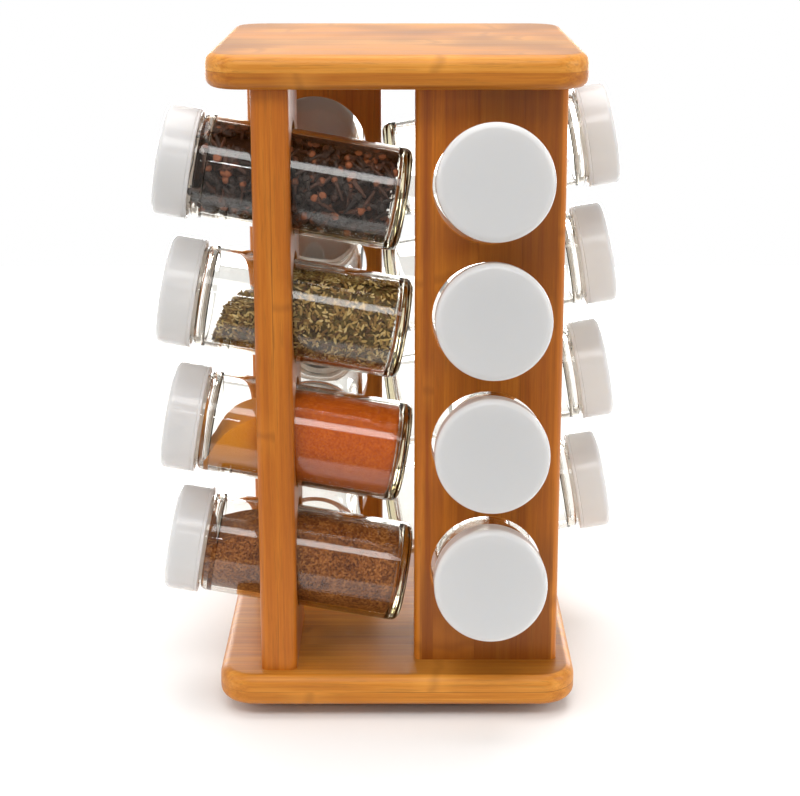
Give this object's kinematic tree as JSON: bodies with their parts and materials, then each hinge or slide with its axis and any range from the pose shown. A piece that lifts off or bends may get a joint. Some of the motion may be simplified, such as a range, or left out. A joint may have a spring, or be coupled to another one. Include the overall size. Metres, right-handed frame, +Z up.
{
  "type": "spice carousel",
  "caption": "Revolving square bamboo rack holding tilted screw-capped glass spice jars in four bored panels on a ball-bearing turntable.",
  "frame": {"origin": "on the floor, under the turning axis", "axes": "+Z up along the turning axis, -Y out of the front panel's outer face, +X to the right seen from the front"},
  "size_m": [0.237, 0.237, 0.329],
  "materials": {
    "bamboo_plate": "satin lacquered bamboo, laminated, grain along X",
    "bamboo_panel": "satin lacquered bamboo, upright strips",
    "dowel_wood": "plain beech dowel",
    "clear_glass": "clear pressed soda glass",
    "white_cap": "smooth moulded white plastic, satin",
    "pressed_steel": "galvanised pressed sheet",
    "bearing_steel": "polished balls",
    "zinc_steel": "zinc plated",
    "cage_nylon": "plain nylon",
    "foot_rubber": "matt soft rubber",
    "cloves": "dry whole cloves",
    "dried_herb": "dry crumbled leaves",
    "orange_spice": "dry fine powder",
    "brown_spice": "dry ground seed"
  },
  "bodies": {
    "turntable_foot": {"foot_plate": "pressed_steel", "rubber_feet": "foot_rubber", "bearing_balls": "bearing_steel", "ball_cage": "cage_nylon", "centre_pivot": "zinc_steel"},
    "carousel": {"swivel_plate": "pressed_steel", "swivel_screws": "zinc_steel", "base_plate": "bamboo_plate", "panel_front": "bamboo_panel", "panel_right": "bamboo_panel", "panel_back": "bamboo_panel", "panel_left": "bamboo_panel", "top_plate": "bamboo_plate", "panel_screws": "zinc_steel", "top_dowels": "dowel_wood"},
    "jar_left_1": {"jar_left_1": "clear_glass", "cloves": "cloves"},
    "cap_left_1": {"cap_left_1": "white_cap"},
    "jar_left_2": {"jar_left_2": "clear_glass", "dried_herb": "dried_herb"},
    "cap_left_2": {"cap_left_2": "white_cap"},
    "jar_left_3": {"jar_left_3": "clear_glass", "orange_spice": "orange_spice"},
    "cap_left_3": {"cap_left_3": "white_cap"},
    "jar_left_4": {"jar_left_4": "clear_glass", "brown_spice": "brown_spice"},
    "cap_left_4": {"cap_left_4": "white_cap"},
    "jar_front_1": {"jar_front_1": "clear_glass"},
    "cap_front_1": {"cap_front_1": "white_cap"},
    "jar_front_2": {"jar_front_2": "clear_glass"},
    "cap_front_2": {"cap_front_2": "white_cap"},
    "jar_front_3": {"jar_front_3": "clear_glass"},
    "cap_front_3": {"cap_front_3": "white_cap"},
    "jar_front_4": {"jar_front_4": "clear_glass"},
    "cap_front_4": {"cap_front_4": "white_cap"},
    "jar_right_1": {"jar_right_1": "clear_glass"},
    "cap_right_1": {"cap_right_1": "white_cap"},
    "jar_right_2": {"jar_right_2": "clear_glass"},
    "cap_right_2": {"cap_right_2": "white_cap"},
    "jar_right_3": {"jar_right_3": "clear_glass"},
    "cap_right_3": {"cap_right_3": "white_cap"},
    "jar_right_4": {"jar_right_4": "clear_glass"},
    "cap_right_4": {"cap_right_4": "white_cap"},
    "jar_back_1": {"jar_back_1": "clear_glass"},
    "cap_back_1": {"cap_back_1": "white_cap"},
    "jar_back_2": {"jar_back_2": "clear_glass"},
    "cap_back_2": {"cap_back_2": "white_cap"},
    "jar_back_3": {"jar_back_3": "clear_glass"},
    "cap_back_3": {"cap_back_3": "white_cap"},
    "jar_back_4": {"jar_back_4": "clear_glass"},
    "cap_back_4": {"cap_back_4": "white_cap"}
  },
  "joints": [
    {"name": "carousel_spin", "type": "hinge", "parent": "turntable_foot", "child": "carousel", "pos_m": [0, 0, 0], "axis": [0, 0, 1], "continuous": true},
    {"name": "jar_left_1_slide", "type": "slide", "parent": "carousel", "child": "jar_left_1", "axis": [-0.9848, 0, 0.1736], "range_m": [0, 0.085]},
    {"name": "cap_left_1_lift", "type": "slide", "parent": "jar_left_1", "child": "cap_left_1", "axis": [-0.9848, 0, 0.1736], "range_m": [0, 0.02]},
    {"name": "jar_left_2_slide", "type": "slide", "parent": "carousel", "child": "jar_left_2", "axis": [-0.9848, 0, 0.1736], "range_m": [0, 0.085]},
    {"name": "cap_left_2_lift", "type": "slide", "parent": "jar_left_2", "child": "cap_left_2", "axis": [-0.9848, 0, 0.1736], "range_m": [0, 0.02]},
    {"name": "jar_left_3_slide", "type": "slide", "parent": "carousel", "child": "jar_left_3", "axis": [-0.9848, 0, 0.1736], "range_m": [0, 0.085]},
    {"name": "cap_left_3_lift", "type": "slide", "parent": "jar_left_3", "child": "cap_left_3", "axis": [-0.9848, 0, 0.1736], "range_m": [0, 0.02]},
    {"name": "jar_left_4_slide", "type": "slide", "parent": "carousel", "child": "jar_left_4", "axis": [-0.9848, 0, 0.1736], "range_m": [0, 0.085]},
    {"name": "cap_left_4_lift", "type": "slide", "parent": "jar_left_4", "child": "cap_left_4", "axis": [-0.9848, 0, 0.1736], "range_m": [0, 0.02]},
    {"name": "jar_front_1_slide", "type": "slide", "parent": "carousel", "child": "jar_front_1", "axis": [0, -0.9848, 0.1736], "range_m": [0, 0.085]},
    {"name": "cap_front_1_lift", "type": "slide", "parent": "jar_front_1", "child": "cap_front_1", "axis": [0, -0.9848, 0.1736], "range_m": [0, 0.02]},
    {"name": "jar_front_2_slide", "type": "slide", "parent": "carousel", "child": "jar_front_2", "axis": [0, -0.9848, 0.1736], "range_m": [0, 0.085]},
    {"name": "cap_front_2_lift", "type": "slide", "parent": "jar_front_2", "child": "cap_front_2", "axis": [0, -0.9848, 0.1736], "range_m": [0, 0.02]},
    {"name": "jar_front_3_slide", "type": "slide", "parent": "carousel", "child": "jar_front_3", "axis": [0, -0.9848, 0.1736], "range_m": [0, 0.085]},
    {"name": "cap_front_3_lift", "type": "slide", "parent": "jar_front_3", "child": "cap_front_3", "axis": [0, -0.9848, 0.1736], "range_m": [0, 0.02]},
    {"name": "jar_front_4_slide", "type": "slide", "parent": "carousel", "child": "jar_front_4", "axis": [0, -0.9848, 0.1736], "range_m": [0, 0.085]},
    {"name": "cap_front_4_lift", "type": "slide", "parent": "jar_front_4", "child": "cap_front_4", "axis": [0, -0.9848, 0.1736], "range_m": [0, 0.02]},
    {"name": "jar_right_1_slide", "type": "slide", "parent": "carousel", "child": "jar_right_1", "axis": [0.9848, 0, 0.1736], "range_m": [0, 0.085]},
    {"name": "cap_right_1_lift", "type": "slide", "parent": "jar_right_1", "child": "cap_right_1", "axis": [0.9848, 0, 0.1736], "range_m": [0, 0.02]},
    {"name": "jar_right_2_slide", "type": "slide", "parent": "carousel", "child": "jar_right_2", "axis": [0.9848, 0, 0.1736], "range_m": [0, 0.085]},
    {"name": "cap_right_2_lift", "type": "slide", "parent": "jar_right_2", "child": "cap_right_2", "axis": [0.9848, 0, 0.1736], "range_m": [0, 0.02]},
    {"name": "jar_right_3_slide", "type": "slide", "parent": "carousel", "child": "jar_right_3", "axis": [0.9848, 0, 0.1736], "range_m": [0, 0.085]},
    {"name": "cap_right_3_lift", "type": "slide", "parent": "jar_right_3", "child": "cap_right_3", "axis": [0.9848, 0, 0.1736], "range_m": [0, 0.02]},
    {"name": "jar_right_4_slide", "type": "slide", "parent": "carousel", "child": "jar_right_4", "axis": [0.9848, 0, 0.1736], "range_m": [0, 0.085]},
    {"name": "cap_right_4_lift", "type": "slide", "parent": "jar_right_4", "child": "cap_right_4", "axis": [0.9848, 0, 0.1736], "range_m": [0, 0.02]},
    {"name": "jar_back_1_slide", "type": "slide", "parent": "carousel", "child": "jar_back_1", "axis": [0, 0.9848, 0.1736], "range_m": [0, 0.085]},
    {"name": "cap_back_1_lift", "type": "slide", "parent": "jar_back_1", "child": "cap_back_1", "axis": [0, 0.9848, 0.1736], "range_m": [0, 0.02]},
    {"name": "jar_back_2_slide", "type": "slide", "parent": "carousel", "child": "jar_back_2", "axis": [0, 0.9848, 0.1736], "range_m": [0, 0.085]},
    {"name": "cap_back_2_lift", "type": "slide", "parent": "jar_back_2", "child": "cap_back_2", "axis": [0, 0.9848, 0.1736], "range_m": [0, 0.02]},
    {"name": "jar_back_3_slide", "type": "slide", "parent": "carousel", "child": "jar_back_3", "axis": [0, 0.9848, 0.1736], "range_m": [0, 0.085]},
    {"name": "cap_back_3_lift", "type": "slide", "parent": "jar_back_3", "child": "cap_back_3", "axis": [0, 0.9848, 0.1736], "range_m": [0, 0.02]},
    {"name": "jar_back_4_slide", "type": "slide", "parent": "carousel", "child": "jar_back_4", "axis": [0, 0.9848, 0.1736], "range_m": [0, 0.085]},
    {"name": "cap_back_4_lift", "type": "slide", "parent": "jar_back_4", "child": "cap_back_4", "axis": [0, 0.9848, 0.1736], "range_m": [0, 0.02]}
  ]
}
